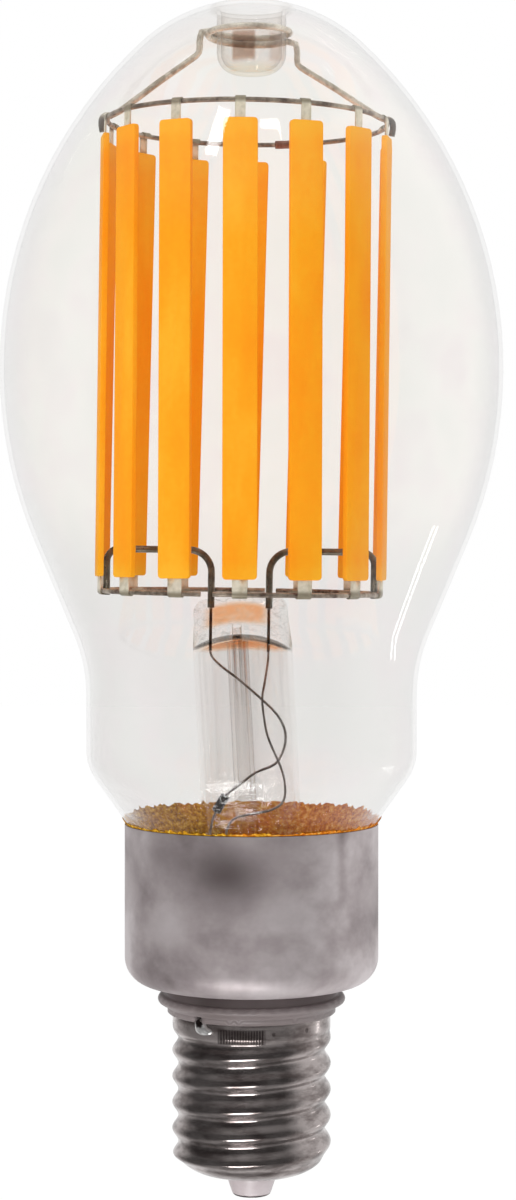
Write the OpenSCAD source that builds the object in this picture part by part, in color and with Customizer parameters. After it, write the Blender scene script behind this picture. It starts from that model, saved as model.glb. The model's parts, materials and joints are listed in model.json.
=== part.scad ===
// High power LED lamp: a clear blown envelope with a cage of filament strips, a metal driver can
// and a large screw base. Millimetres, +Z up, base down.
// The origin is the middle of the centre contact's face, which is the lowest point of the lamp.

/* [Screw base] */
// Thickness of the centre contact
contact_t = 0.75; // [0.5:0.05:1.2]
// Diameter of the centre contact
contact_d = 9.2; // [8.4:0.1:9.4]
// Diameter of the contact's rivet shank
shank_d = 2; // [1.6:0.1:3]
// Length of the rivet shank
shank_l = 4; // [2:0.5:5]
// Height of the insulating plug below the shell's mouth
plug_h = 4.85; // [3.5:0.05:7]
// Diameter of the plug at the contact
plug_tip_d = 9.5; // [9.5:0.1:10.5]
// Diameter of the plug at the shell's mouth
plug_root_d = 12.8; // [12:0.1:13.6]
// Diameter of the plug's inner flange
plug_flange_d = 22; // [18:0.5:25]
// Thickness of the plug's inner flange
plug_flange_t = 2; // [1:0.25:3]
// Depth of the shell's domed bottom
dome_h = 2.7; // [2:0.1:3.5]
// Diameter of the shell at the top of the domed bottom
dome_d = 33.6; // [32:0.1:34.4]
// Length of the shell above its domed bottom
shell_l = 36.6; // [34:0.1:40]
// Thread pitch
thread_pitch = 6.35; // [6.2:0.05:6.5]
// Diameter over the thread's crests
crest_d = 39.2; // [38.8:0.1:39.6]
// Diameter at the thread's roots
root_d = 35.8; // [35.4:0.1:36.4]
// Height of the lowest crest above the shell's mouth, on the +X side
first_crest = 7.8; // [7:0.1:9]
// Diameter of the plain band above the thread
skirt_d = 38.8; // [38.4:0.1:39.2]
// Height of the plain band, with the run-out of the thread
skirt_h = 6; // [5:0.25:8]
// Thickness of the shell's sheet metal
shell_t = 0.4; // [0.3:0.05:0.5]

/* [Base insulator] */
// Diameter of the plastic neck
insulator_d = 41.6; // [40.4:0.1:43]
// Height of the plastic neck
insulator_h = 7.1; // [6.5:0.1:9]
// Diameter over the rib round the neck
rib_d = 45.8; // [44:0.1:47]
// Thickness of the rib
rib_t = 2.2; // [1.6:0.1:2.6]
// Height of the rib's middle above the shell's rim
rib_z = 3.4; // [2.9:0.1:3.8]
// Depth of the step and the chamfer at the neck's foot
foot_step = 0.25; // [0.1:0.05:0.4]
// Length of the spigot inside the screw shell
spigot_l = 11; // [9:0.5:13]
// Diameter of the tube that passes the can's floor
riser_d = 36; // [34:0.5:37]
// Height of that tube above the can's floor, up to the circuit board
riser_h = 14; // [10:0.5:16]
// Inner diameter of the insulator
insulator_bore_d = 31.6; // [30:0.2:32.4]
// Direction of the wire slot, in degrees round from +X
slot_angle = 231.5; // [225:0.5:240]
// Width of the wire slot
slot_w = 2.2; // [1.6:0.1:3]
// Height of the wire slot
slot_h = 1.5; // [1.2:0.1:1.8]

/* [Driver can] */
// Outer diameter of the can
can_d = 62; // [60:0.2:66]
// Height of the can
can_h = 38.9; // [36:0.1:42]
// Radius of the can's lower corner
can_corner_r = 6.5; // [4:0.25:8]
// Thickness of the can's sheet metal
can_t = 0.5; // [0.4:0.05:0.7]
// Depth of the cement from the rim
cement_h = 13.9; // [12.5:0.1:15]

/* [Driver] */
// Gap between the circuit board and the can's wall
board_gap = 3.5; // [2.5:0.25:6.5]
// Thickness of the circuit board
board_t = 1.6; // [1:0.1:2]
// Diameter of the smoothing capacitor under the board
big_cap_d = 16; // [12.5:0.5:18]
// Length of the smoothing capacitor
big_cap_l = 24; // [16:0.5:26]
// Diameter of the choke
choke_d = 12; // [9:0.5:13]
// Height of the choke
choke_h = 9; // [6:0.5:10]

/* [Glass envelope] */
// Outer diameter at the widest place
bulb_d = 122.8; // [118:0.2:128]
// Height of the glass above the can's rim
bulb_h = 201.0; // [196:0.1:210]
// Height of the widest place above the can's rim
widest_h = 111.1; // [106:0.1:116]
// Room between the rings' radius and the radius of the crown
crown_room = 5.8; // [4.6:0.1:8]
// Height of the straight waist's upper end above the can's rim
waist_h = 31.5; // [28:0.1:34]
// Outer diameter of the waist
waist_d = 80.8; // [77:0.2:84]
// Radius of the hollow curve above the waist
waist_curve_r = 38; // [30:1:42]
// Radius of the curve below the waist
shoulder_r = 12.5; // [9:0.5:15]
// Slope of the shoulder from the vertical, in degrees
shoulder_slope = 35.5; // [32:0.5:38]
// Room for the cement between the neck and the can's wall
cement_room = 3; // [2:0.1:4.5]
// Radius of the hollow curve above the neck
neck_curve_r = 7; // [4:0.5:8]
// Length of the neck below the can's rim
neck_l = 10.9; // [9.5:0.1:12]
// Thickness of the blown glass
glass_t = 1; // [0.7:0.05:1.4]
// Diameter of the dimple that is pressed into the top
dimple_d = 17; // [14:0.2:19]
// Depth of the dimple, down to its inner face
dimple_h = 17.7; // [15:0.1:22]
// Radius of the dimple's lower corner
dimple_corner_r = 5; // [2.5:0.5:6]
// Radius of the dimple's rim
dimple_lip_r = 2; // [1.6:0.1:3]

/* [Glass stem] */
// Outer diameter of the stem tube
stem_d = 24.3; // [22:0.1:26]
// Thickness of the stem's glass
stem_t = 1.2; // [0.8:0.1:1.5]
// Width of the flat rim outside the flare, which is melted to the neck
flare_rim_w = 3.35; // [2:0.05:5]
// Length of the stem from its flare to the press
stem_l = 42; // [40:0.5:46]
// Length of the shoulders that narrow the tube to the press
press_shoulder_h = 7; // [6:0.5:9]
// Height of the flat press
press_h = 5.1; // [4:0.1:6]
// Width of the press
press_w = 23; // [20:0.5:24]
// Thickness of the press
press_t = 6; // [4:0.25:8]
// Lean of the stem towards -X, in degrees
stem_lean = 3; // [0:0.1:4]
// Outer diameter of the exhaust tube
exhaust_d = 5.3; // [4:0.1:6]
// Bore of the exhaust tube
exhaust_bore_d = 3.2; // [2.5:0.1:3.6]
// Place of the exhaust tube across the stem
exhaust_x = -1.2; // [-2:0.1:0]
// Length of the exhaust tube below the top of the flare
exhaust_drop = 20; // [16:0.5:21]

/* [Filament cage] */
// Number of filament strips
filament_n = 14;
// Radius of both rings, at the wire's middle
ring_r = 34.2; // [32:0.1:36]
// Diameter of the ring wire
ring_wire_d = 1.2; // [1:0.05:1.5]
// Height of the lower ring above the can's rim
lower_ring_h = 56.5; // [54:0.1:60]
// Distance between the rings
cage_h = 114.8; // [105:0.1:120]
// Gap between the two halves of the lower ring
half_ring_gap = 3; // [2:0.1:4]
// Direction of that gap at the front, in degrees round from +X
half_ring_angle = 257; // [255:0.5:259]
// Width of a filament strip
filament_w = 8.1; // [5:0.1:9]
// Thickness of a filament strip
filament_t = 1.4; // [1:0.1:2]
// Length of the metal tabs at the lower ring
low_tab_l = 3.5; // [2.5:0.1:5]
// Width of those tabs
low_tab_w = 3.5; // [2:0.1:4.5]
// Length of the metal tabs at the upper ring
high_tab_l = 4.3; // [3:0.1:6]
// Width of those tabs
high_tab_w = 2.4; // [1.8:0.1:4]
// Thickness of the tabs
tab_t = 0.3; // [0.2:0.05:0.5]
// Turn of the upper ring against the lower one, in degrees
cage_twist = 2.5; // [0:0.1:3]
// Lean of the cage towards +X at its top, in degrees
cage_lean = 0.87; // [0:0.01:1.2]
// Place of the cage's axis at the height of the dimple
cage_shift = -0.76; // [-1:0.01:0]

/* [Wires] */
// Diameter of the lead wires that carry the cage
lead_d = 1.7; // [1.4:0.05:2]
// Distance between the leads where they leave the press
lead_gap = 14.2; // [13:0.1:15.5]
// Height of the leads' level arms above the lower ring
lead_rise = 10.2; // [8:0.1:12]
// Bend radius of the leads above the press
lead_bend_r = 5.4; // [3:0.1:6]
// Bend radius of the leads at the ring
lead_end_bend_r = 3; // [2:0.1:4]
// Depth of the leads in the press
lead_bite = 2.5; // [2:0.1:3.5]
// Diameter of the sealing wires through the press
seal_wire_d = 0.75; // [0.5:0.05:0.9]
// Diameter of the thin wires inside the stem
inner_wire_d = 0.5; // [0.3:0.05:0.6]
// Diameter of the black sleeve on one of them
sleeve_d = 1.7; // [1.3:0.1:2]
// Diameter of the top support wire
support_d = 1.6; // [1.2:0.1:1.8]
// Height of the support wire's loop above the dimple's inner face
loop_h = 11.2; // [10:0.1:12.5]
// Gap between the support wire's loop and the dimple's wall
loop_gap = 0.8; // [0.7:0.05:1.2]
// Length of the joint sleeve on the upper ring
joint_sleeve_l = 5.7; // [4:0.1:8]
// Outer diameter of that sleeve
joint_sleeve_d = 2.1; // [1.9:0.05:2.6]

/* [Hidden] */
// Clearance between pieces that fit round each other
fit = 0.03;
// Fine steps on turned and bent pieces
$fn = 96;
// Steps in one arc of the glass outline
arc_steps = 12;
// Faces round the screw shell, and rows of faces in one pitch
shell_faces = 36;
rows_per_pitch = 7;
// Rows of faces in the shell's domed bottom
dome_rows = 4;
// Sides of the thick and the thin swept wires
lead_sides = 12;
wire_sides = 6;
// A little more than nothing, so that a cut passes through its wall
past = 1;

// Radii
can_inner_r = can_d / 2 - can_t;
waist_r = waist_d / 2;
neck_r = can_inner_r - cement_room;
board_r = can_inner_r - board_gap;
stem_r = stem_d / 2;
stem_bore_r = stem_r - stem_t;
flare_r = neck_r - stem_r - flare_rim_w;
riser_hole_r = riser_d / 2 + fit;
skirt_inner_r = (skirt_d / 2 - shell_t) * cos(180 / shell_faces) - fit;
root_inner_r = (root_d / 2 - shell_t) * cos(180 / shell_faces) - fit;
mouth_r = (plug_root_d / 2 + fit) / cos(180 / shell_faces);
loop_r = dimple_d / 2 + loop_gap + support_d / 2;

// Heights, stacked from the contact up
mouth_z = contact_t + plug_h;
dome_top_z = mouth_z + dome_h;
shell_rim_z = dome_top_z + shell_l;
can_floor_z = shell_rim_z + insulator_h;
rim_z = can_floor_z + can_h;
board_z = can_floor_z + riser_h;
board_top_z = board_z + board_t;
bulb_top_z = rim_z + bulb_h;
widest_z = rim_z + widest_h;
neck_end_z = rim_z - neck_l;
flare_top_z = neck_end_z + flare_r;
dimple_floor_z = bulb_top_z - dimple_h;
lower_ring_z = rim_z + lower_ring_h;
upper_ring_z = lower_ring_z + cage_h;
lead_level_z = lower_ring_z + lead_rise;
press_top_z = flare_top_z + (stem_l + press_shoulder_h + press_h) * cos(stem_lean);
lead_foot_z = press_top_z - lead_bite;
// The sealing wires reach a little below the press, and the cage leans about a point in the dimple
seal_drop = 1;
lean_point_h = 6;
seal_foot_z = flare_top_z + (stem_l - seal_drop) * cos(stem_lean);
lean_z = dimple_floor_z + lean_point_h;

// Outline of the glass. The shoulder just clears the can's rim.
rim_gap = 0.2;
shoulder_rim_r = can_inner_r - rim_gap;
// The belly's arc touches the crown's arc above, and below it a slope that also touches the hollow
// curve above the waist. Like any fillet, that curve is no larger than the room for it.
crown_r = ring_r + crown_room;
crown_z = bulb_top_z - crown_r;
crown_angle = 2 * atan((bulb_d / 2 - crown_r) / (crown_z - widest_z));
belly_r = crown_r + (crown_z - widest_z) / sin(crown_angle);
belly_x = bulb_d / 2 - belly_r;
waist_z = rim_z + waist_h;
waist_reach = waist_r - belly_x;
hollow_share = 0.95;
waist_curve_room = (pow(waist_reach, 2) + pow(widest_z - waist_z, 2) - pow(belly_r, 2))
                 / (2 * (belly_r - waist_reach));
hollow_r = min(waist_curve_r, hollow_share * waist_curve_room);
hollow_away = [waist_reach + hollow_r, widest_z - waist_z];
belly_slope = atan2(hollow_away[1], hollow_away[0]) - acos((belly_r + hollow_r) / norm(hollow_away));
shoulder_top_r = waist_r - shoulder_r * (1 - cos(shoulder_slope));
shoulder_z = rim_z + (shoulder_top_r - shoulder_rim_r) / tan(shoulder_slope)
           + shoulder_r * sin(shoulder_slope);
neck_top_r = neck_r + neck_curve_r * (1 - cos(shoulder_slope));
neck_z = rim_z - (shoulder_rim_r - neck_top_r) / tan(shoulder_slope)
       - neck_curve_r * sin(shoulder_slope);

// The dimple's rim is an arc that touches both the crown and the dimple's wall
lip_x = dimple_d / 2 - glass_t + dimple_lip_r;
lip_z = crown_z + sqrt(pow(crown_r - dimple_lip_r, 2) - pow(lip_x, 2));
lip_angle = atan2(lip_z - crown_z, lip_x);

function filament_name(i) = str("filament_", i < 10 ? "0" : "", i);

// Points on an arc in the outline plane
function arc(centre, r, from, to, steps = arc_steps) =
    [for (k = [0:steps]) let (a = from + (to - from) * k / steps) centre + r * [cos(a), sin(a)]];
function reversed(list) = [for (k = [len(list) - 1:-1:0]) list[k]];
function unit(v) = v / norm(v);
function mix(a, b, t) = a + (b - a) * t;
// 0 at from, 1 at to, with a soft start and end
function ramp(v, from, to) = let (t = min(max((v - from) / (to - from), 0), 1)) t * t * (3 - 2 * t);

// Outline of the glass at a depth below its outer face: the dimple, then the body down to the neck
function dimple_line(depth) = concat(
    [[0, dimple_floor_z + glass_t - depth]],
    arc([dimple_d / 2 - dimple_corner_r, dimple_floor_z + dimple_corner_r],
        dimple_corner_r - glass_t + depth, -90, 0, 6),
    arc([lip_x, lip_z], dimple_lip_r - depth, 180, lip_angle, 6));
function body_line(depth) = concat(
    arc([0, crown_z], crown_r - depth, lip_angle, 90 - crown_angle),
    arc([belly_x, widest_z], belly_r - depth, 90 - crown_angle, -belly_slope, 2 * arc_steps),
    arc([waist_r + hollow_r, waist_z], hollow_r + depth, 180 - belly_slope, 180),
    arc([waist_r - shoulder_r, shoulder_z], shoulder_r - depth, 0, -shoulder_slope),
    neck_line(depth));
function neck_line(depth) =
    arc([neck_r + neck_curve_r, neck_z], neck_curve_r + depth, 180 - shoulder_slope, 180, 6);

// The cage and the leads lean as one piece about a point in the dimple, and the stem about its flare
module in_mount() {
    translate([cage_shift, 0, lean_z]) rotate([0, cage_lean, 0]) translate([0, 0, -lean_z]) children();
}
function mount_point(p) = [
    cage_shift + p[0] * cos(cage_lean) + (p[2] - lean_z) * sin(cage_lean),
    p[1],
    lean_z - p[0] * sin(cage_lean) + (p[2] - lean_z) * cos(cage_lean)];
module in_stem() {
    translate([0, 0, flare_top_z]) rotate([0, -stem_lean, 0]) children();
}

// A round wire swept along a list of points
function tangent(p, i) = unit(p[min(i + 1, len(p) - 1)] - p[max(i - 1, 0)]);
function side_vectors(p, i, v) = i == len(p) ? [] :
    let (t = tangent(p, i), s = unit(v - (v * t) * t)) concat([s], side_vectors(p, i + 1, s));
module round_wire(p, d, n = wire_sides, first_side = [0, 1, 0]) {
    s = side_vectors(p, 0, first_side);
    points = [for (i = [0:len(p) - 1])
        let (u = s[i], w = cross(tangent(p, i), u))
        for (k = [0:n - 1]) p[i] + d / 2 * (cos(360 * k / n) * u + sin(360 * k / n) * w)];
    last = (len(p) - 1) * n;
    walls = [for (i = [0:len(p) - 2], k = [0:n - 1])
        let (a = i * n + k, b = i * n + (k + 1) % n)
        for (f = [[a + n, b + n, b], [a + n, b, a]]) f];
    ends = [[for (k = [0:n - 1]) k], [for (k = [n - 1:-1:0]) last + k]];
    polyhedron(points = points, faces = concat(walls, ends));
}
// A smooth path through a few points
function between(a, b, c, d, t) =
    0.5 * (2 * b + (c - a) * t + (2 * a - 5 * b + 4 * c - d) * t * t + (3 * b - a - 3 * c + d) * t * t * t);
function smooth(p, steps) = concat(
    [for (i = [0:len(p) - 2], k = [0:steps - 1])
        between(p[max(i - 1, 0)], p[i], p[i + 1], p[min(i + 2, len(p) - 1)], k / steps)],
    [p[len(p) - 1]]);

// A straight upright wire in the cage's middle plane
module wire_up(x, from_z, to_z, d) {
    translate([x, 0, from_z]) cylinder(d = d, h = to_z - from_z);
}

// Clear glass

module glass_envelope() {
    color([0.93, 0.94, 0.95, 0.35])
    rotate_extrude()
    polygon(concat(
        dimple_line(0), body_line(0), [[neck_r, neck_end_z]],
        [[neck_r - glass_t, neck_end_z]], reversed(body_line(glass_t)), reversed(dimple_line(glass_t))));
}

// The hollow of the stem: a round bore with a shallow dome under the press
dome_rise = 2.4;
dome_foot_drop = 0.6;
dome_r = (pow(stem_bore_r, 2) + pow(dome_rise, 2)) / (2 * dome_rise);
bore_top = stem_l + dome_rise - dome_foot_drop;
module stem_bore(from) {
    rotate_extrude()
    polygon(concat([[0, from], [stem_bore_r, from]],
        reversed(arc([0, bore_top - dome_r], dome_r, 90, acos(stem_bore_r / dome_r), 8))));
}

// The press shoulders narrow the round tube to the flat press
press_corner_r = 3;
module press() {
    hull() {
        translate([0, 0, stem_l]) cylinder(r = stem_r, h = 0.1, $fn = 32);
        translate([-press_w / 2, -press_t / 2, stem_l + press_shoulder_h]) cube([press_w, press_t, 0.1]);
    }
    translate([0, 0, stem_l + press_shoulder_h]) rotate([90, 0, 0])
    linear_extrude(press_t, center = true)
    polygon(concat(
        [[-press_w / 2, 0], [press_w / 2, 0]],
        arc([press_w / 2 - press_corner_r, press_h - press_corner_r], press_corner_r, 0, 90, 6),
        arc([press_corner_r - press_w / 2, press_h - press_corner_r], press_corner_r, 90, 180, 6)));
}

tube_start = -3;
blow_hole_d = 2.4;
blow_hole_tilt = -40;
module stem() {
    color([0.9, 0.92, 0.92, 0.4])
    difference() {
        union() {
            rotate_extrude()
            polygon(concat(
                [[0, flare_top_z], [0, neck_end_z - stem_t], [neck_r, neck_end_z - stem_t],
                 [neck_r, neck_end_z]],
                arc([stem_r + flare_r, flare_top_z], flare_r, 270, 180)));
            in_stem() {
                translate([0, 0, tube_start]) cylinder(r = stem_r, h = stem_l - tube_start);
                press();
            }
        }
        rotate_extrude()
        polygon(concat(
            [[0, flare_top_z], [0, neck_end_z - stem_t - past], [stem_r + flare_r, neck_end_z - stem_t - past]],
            [for (p = arc([stem_r + flare_r, flare_top_z], flare_r + stem_t, 270, 180))
                if (p[1] < flare_top_z + tube_start) p]));
        in_stem() stem_bore(2 * tube_start);
        in_stem() translate([exhaust_x, 0, stem_l - seal_drop]) rotate([blow_hole_tilt, 0, 0])
            cylinder(d = blow_hole_d, h = stem_r + press_shoulder_h);
        in_mount() for (side = [-1, 1]) {
            wire_up(side * lead_gap / 2, lead_foot_z, lead_foot_z + 2 * lead_bite, lead_d);
            wire_up(side * lead_gap / 2, seal_foot_z, lead_foot_z + past / 2, seal_wire_d);
        }
    }
}

// Sealed at its lower end, and melted to the dome of the stem at its upper end
tip_h = 5;
tip_wall = 3;
tip_nose = 1;
module exhaust_tube() {
    color([0.85, 0.88, 0.88, 0.5])
    in_stem() intersection() {
        translate([exhaust_x, 0, 0]) rotate_extrude()
        polygon([
            [0, -exhaust_drop], [exhaust_d / 6, -exhaust_drop], [exhaust_d / 3, tip_nose - exhaust_drop],
            [exhaust_d / 2, tip_h - exhaust_drop], [exhaust_d / 2, stem_l + dome_rise],
            [exhaust_bore_d / 2, stem_l + dome_rise], [exhaust_bore_d / 2, tip_h - exhaust_drop],
            [exhaust_bore_d / 6, tip_wall - exhaust_drop], [0, tip_wall - exhaust_drop]]);
        stem_bore(-exhaust_drop - past);
    }
}

// Leads, rings and supports of the cage

lead_end_x = ring_r - ring_wire_d / 2 - lead_d / 2 - fit;
lead_stub = 1.1;
// Up out of the press, level to the ring and down on its inside
lead_line = concat(
    [[lead_gap / 2, lead_foot_z]],
    arc([lead_gap / 2 + lead_bend_r, lead_level_z - lead_bend_r], lead_bend_r, 180, 90, 9),
    arc([lead_end_x - lead_end_bend_r, lead_level_z - lead_end_bend_r], lead_end_bend_r, 90, 0, 7),
    [[lead_end_x, lower_ring_z - lead_stub]]);
module lead(side) {
    color([0.42, 0.4, 0.35])
    in_mount() round_wire([for (p = lead_line) [side * p[0], 0, p[1]]], lead_d, lead_sides);
}

module seal_wire(side) {
    color([0.6, 0.35, 0.25])
    in_mount() wire_up(side * lead_gap / 2, seal_foot_z, lead_foot_z, seal_wire_d);
}

module ring(z, from, sweep) {
    color([0.52, 0.48, 0.44])
    in_mount() translate([0, 0, z]) rotate([0, 0, from])
        rotate_extrude(angle = sweep) translate([ring_r, 0]) circle(d = ring_wire_d);
}
function ring_angle(length) = length / ring_r * 180 / PI;
half_gap = ring_angle(half_ring_gap) / 2;
module lower_ring_right() {
    ring(lower_ring_z, half_ring_angle + half_gap, 180 - 2 * half_gap);
}
module lower_ring_left() {
    ring(lower_ring_z, half_ring_angle + 180 + half_gap, 180 - 2 * half_gap);
}

// The ends of the upper ring meet in a small sleeve at the back
joint_angle = 73;
ring_ends_gap = 0.6;
module upper_ring() {
    open = ring_angle(ring_ends_gap);
    ring(upper_ring_z, joint_angle + open / 2, 360 - open);
}
module ring_joint_sleeve() {
    sweep = ring_angle(joint_sleeve_l);
    color([0.5, 0.33, 0.25])
    in_mount() translate([0, 0, upper_ring_z]) rotate([0, 0, joint_angle - sweep / 2])
        rotate_extrude(angle = sweep) translate([ring_r, 0]) difference() {
            circle(d = joint_sleeve_d);
            circle(d = ring_wire_d + 2 * fit);
        }
}

// One wire: a hook on the ring, a leg up to the dimple, one and a half turns round it behind,
// in front and behind again, and a leg down to the other side of the ring
loop_top_z = dimple_floor_z + loop_h;
loop_pitch = support_d + 0.1;
hook_reach = (ring_wire_d + support_d) / 2 + 2 * fit;
hook_drop = 2.6;
hook_straight = 1;
hook_tuck = 0.3;
hook_start = 100;
hook_step = 23;
// Each leg leaves the loop through these steps, outwards and up, and ends this far inside the ring
leg_bend = [1.5, -1.1];
leg_drop = [1.9, -3.4];
leg_knee = [2, -6];
leg_sag = 0.3;
leg_foot_in = 3;
leg_foot_h = 1.1;
function hook(side) = concat(
    [for (a = [hook_start:-hook_step:0])
        [side * (ring_r + hook_reach * cos(a)), 0, upper_ring_z + hook_reach * sin(a)]],
    [[side * (ring_r + hook_reach), 0, upper_ring_z - hook_straight],
     [side * (ring_r + hook_reach - hook_tuck), 0, upper_ring_z - hook_drop]]);
function leg(side, z) =
    let (out = function(step) [side * (loop_r + step[0]), 0, z + step[1]],
         foot = [side * (ring_r - leg_foot_in), 0, upper_ring_z + hook_reach + leg_foot_h])
    [out(leg_bend), out(leg_drop), out(leg_knee),
     mix(out(leg_knee), foot, 1 / 8) - [0, 0, leg_sag], mix(out(leg_knee), foot, 1 / 2), foot];
loop_turn_n = 1.5;
loop_step = 18;
function loop_turns() =
    [for (k = [1:loop_turn_n * 360 / loop_step - 1]) let (a = 180 - loop_step * k)
        [loop_r * cos(a), loop_r * sin(a), loop_top_z - loop_pitch * k * loop_step / 360]];
module top_support_wire() {
    loop_end_z = loop_top_z - loop_turn_n * loop_pitch;
    path = concat(
        reversed(smooth(concat(leg(-1, loop_top_z), hook(-1)), 2)),
        loop_turns(),
        smooth(concat(leg(1, loop_end_z), hook(1)), 2));
    color([0.58, 0.56, 0.5])
    in_mount() round_wire(path, support_d, 8);
}

// Filament strips and their metal tabs

filament_pitch = 360 / filament_n;
first_filament = 270;
tab_r = ring_r + ring_wire_d / 2 + fit + tab_t / 2;
strip_foot_z = lower_ring_z + low_tab_l;
strip_l = cage_h - low_tab_l - high_tab_l;
strip_lean = atan(2 * tab_r * sin(cage_twist / 2) / cage_h);
strip_edge_r = 0.5;
module filament(i) {
    corner = [filament_t / 2 - strip_edge_r, filament_w / 2 - strip_edge_r];
    color([0.98, 0.68, 0.22])
    in_mount() rotate([0, 0, first_filament + (i - 1) * filament_pitch - cage_twist / 2])
        translate([tab_r * cos(cage_twist / 2), 0, strip_foot_z + strip_l / 2]) rotate([strip_lean, 0, 0])
        linear_extrude(strip_l, center = true)
        polygon(concat(
            arc([corner[0], corner[1]], strip_edge_r, 0, 90, 4),
            arc([-corner[0], corner[1]], strip_edge_r, 90, 180, 4),
            arc([-corner[0], -corner[1]], strip_edge_r, 180, 270, 4),
            arc([corner[0], -corner[1]], strip_edge_r, 270, 360, 4)));
}

// A tab in section: a flat foot from the strip that hooks round the ring wire
tab_wrap = 200;
function tab_line(foot_z, ring_z, way) =
    let (in_r = ring_wire_d / 2 + fit, out_r = in_r + tab_t, c = [ring_r, ring_z])
    concat(
        [[ring_r + out_r, foot_z]], arc(c, out_r, 0, way * tab_wrap, 10),
        reversed(arc(c, in_r, 0, way * tab_wrap, 10)), [[ring_r + in_r, foot_z]]);
module tabs(foot_z, ring_z, width, turn) {
    sweep = ring_angle(width);
    way = ring_z > foot_z ? 1 : -1;
    color([0.8, 0.79, 0.68])
    in_mount() for (i = [0:filament_n - 1])
        rotate([0, 0, first_filament + i * filament_pitch - turn - sweep / 2])
        rotate_extrude(angle = sweep)
        polygon(tab_line(foot_z, ring_z, way));
}
module lower_tabs() {
    tabs(strip_foot_z - fit, lower_ring_z, low_tab_w, 0);
}
module upper_tabs() {
    tabs(strip_foot_z + strip_l + fit, upper_ring_z, high_tab_w, cage_twist);
}

// Thin wires inside the stem, from the press to the circuit board. Heights are above the can's rim, as
// chosen for a seal at route_seal_h, and follow the seal when the stem changes.

route_seal_h = 42.04;
function from_rim(points) =
    [for (p = points) [p[0], p[1], rim_z + p[2] * (seal_foot_z - rim_z) / route_seal_h]];
weld_gap = 0.2;
function seal_end(side) = mount_point([side * lead_gap / 2, 0, seal_foot_z - weld_gap]);
left_route = [
    [-9.4, -0.8, 40.4], [-7, -2.6, 38.2], [-3.4, -4.4, 35.6], [2, -4.8, 31], [6.2, -3.6, 26.8],
    [8.2, -1.4, 22.6], [8, -1.2, 18.6], [5.8, -3.4, 14.8], [1, -4.6, 12.8], [-2.4, -4.6, 10.2],
    [-5, -3.8, 8.2]];
sleeve_from = [-6.4, -3.2, 6.9];
sleeve_to = [-8.6, -2.3, 3.2];
left_drop = [[-9.6, -2, 0.6], [-10.4, -1.8, -4], [-11.4, -1.6, -8], [-12, -1.5, -14]];
right_route = [
    [4, -1.2, 39.4], [3.2, -4, 34.6], [2.6, -6.2, 30.8], [3, -5.6, 26.4], [3.8, -4.4, 22],
    [5.2, -4.6, 18.4], [6.6, -5.6, 15.4], [7.8, -4.8, 11.8], [8.2, -3.6, 8], [7.4, -3, 5.2],
    [4.6, -4.2, 3.6], [0, -5.6, 2.8], [-4.6, -5.6, 1.4], [-6.4, -5.2, -3], [-7, -5, -12]];
left_pad = [-12, -1.5];
right_pad = [-7, -5];
module inner_wire(path) {
    color([0.45, 0.43, 0.42]) round_wire(path, inner_wire_d);
}
module inner_wire_left() {
    inner_wire(concat(
        smooth(concat([seal_end(-1)], from_rim(left_route), from_rim([sleeve_from])), 3),
        smooth(concat(from_rim([sleeve_to]), from_rim(left_drop),
            [[left_pad[0], left_pad[1], board_top_z + fit]]), 3)));
}
module inner_wire_right() {
    inner_wire(smooth(concat([seal_end(1)], from_rim(right_route),
        [[right_pad[0], right_pad[1], board_top_z + fit]]), 3));
}
sleeve_end_gap = 0.2;
module wire_sleeve() {
    ends = from_rim([sleeve_from, sleeve_to]);
    way = unit(ends[1] - ends[0]);
    length = norm(ends[1] - ends[0]);
    color([0.12, 0.11, 0.12])
    translate(ends[0])
        rotate([0, acos(way[2]), atan2(way[1], way[0])]) difference() {
            translate([0, 0, sleeve_end_gap])
                cylinder(d = sleeve_d, h = length - 2 * sleeve_end_gap, $fn = 24);
            cylinder(d = inner_wire_d + 2 * fit, h = length, $fn = 24);
        }
}

// Cement between the glass and the can, which bonds the two
module bulb_cement() {
    color([0.6, 0.4, 0.2])
    rotate_extrude()
    polygon(concat(
        [[shoulder_rim_r, rim_z]], neck_line(0),
        [[neck_r, rim_z - cement_h], [can_inner_r, rim_z - cement_h], [can_inner_r, rim_z]]));
}

// Deep drawn can that holds the driver
module driver_can() {
    corner = [can_d / 2 - can_corner_r, can_floor_z + can_corner_r];
    color([0.6, 0.58, 0.58])
    rotate_extrude()
    polygon(concat(
        [[riser_hole_r, can_floor_z]], arc(corner, can_corner_r, 270, 360),
        [[can_d / 2, rim_z], [can_inner_r, rim_z]],
        reversed(arc(corner, can_corner_r - can_t, 270, 360)), [[riser_hole_r, can_floor_z + can_t]]));
}

// Driver electronics on a round board

module circuit_board() {
    color([0.15, 0.4, 0.25])
    translate([0, 0, board_z]) cylinder(r = board_r, h = board_t);
}

// Aluminium can with a rolled groove, hanging under the board on its two short leads
cap_standoff = 0.5;
cap_edge = 1;
cap_groove = 0.6;
cap_groove_from = 3.2;
cap_groove_to = 1.4;
cap_seal_edge = 0.4;
cap_lead_d = 0.8;
cap_lead_gap = 7.5;
module smoothing_capacitor() {
    r = big_cap_d / 2;
    top = board_z - cap_standoff;
    color([0.15, 0.15, 0.2]) {
        rotate_extrude()
        polygon([
            [0, top - big_cap_l], [r - cap_edge, top - big_cap_l], [r, top - big_cap_l + cap_edge],
            [r, top - cap_groove_from], [r - cap_groove, top - cap_groove_from + cap_groove],
            [r - cap_groove, top - cap_groove_to - cap_groove], [r, top - cap_groove_to],
            [r, top - cap_seal_edge], [r - cap_seal_edge, top], [0, top]]);
        for (side = [-1, 1]) translate([side * cap_lead_gap / 2, 0, top])
            cylinder(d = cap_lead_d, h = cap_standoff, $fn = 24);
    }
}

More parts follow.
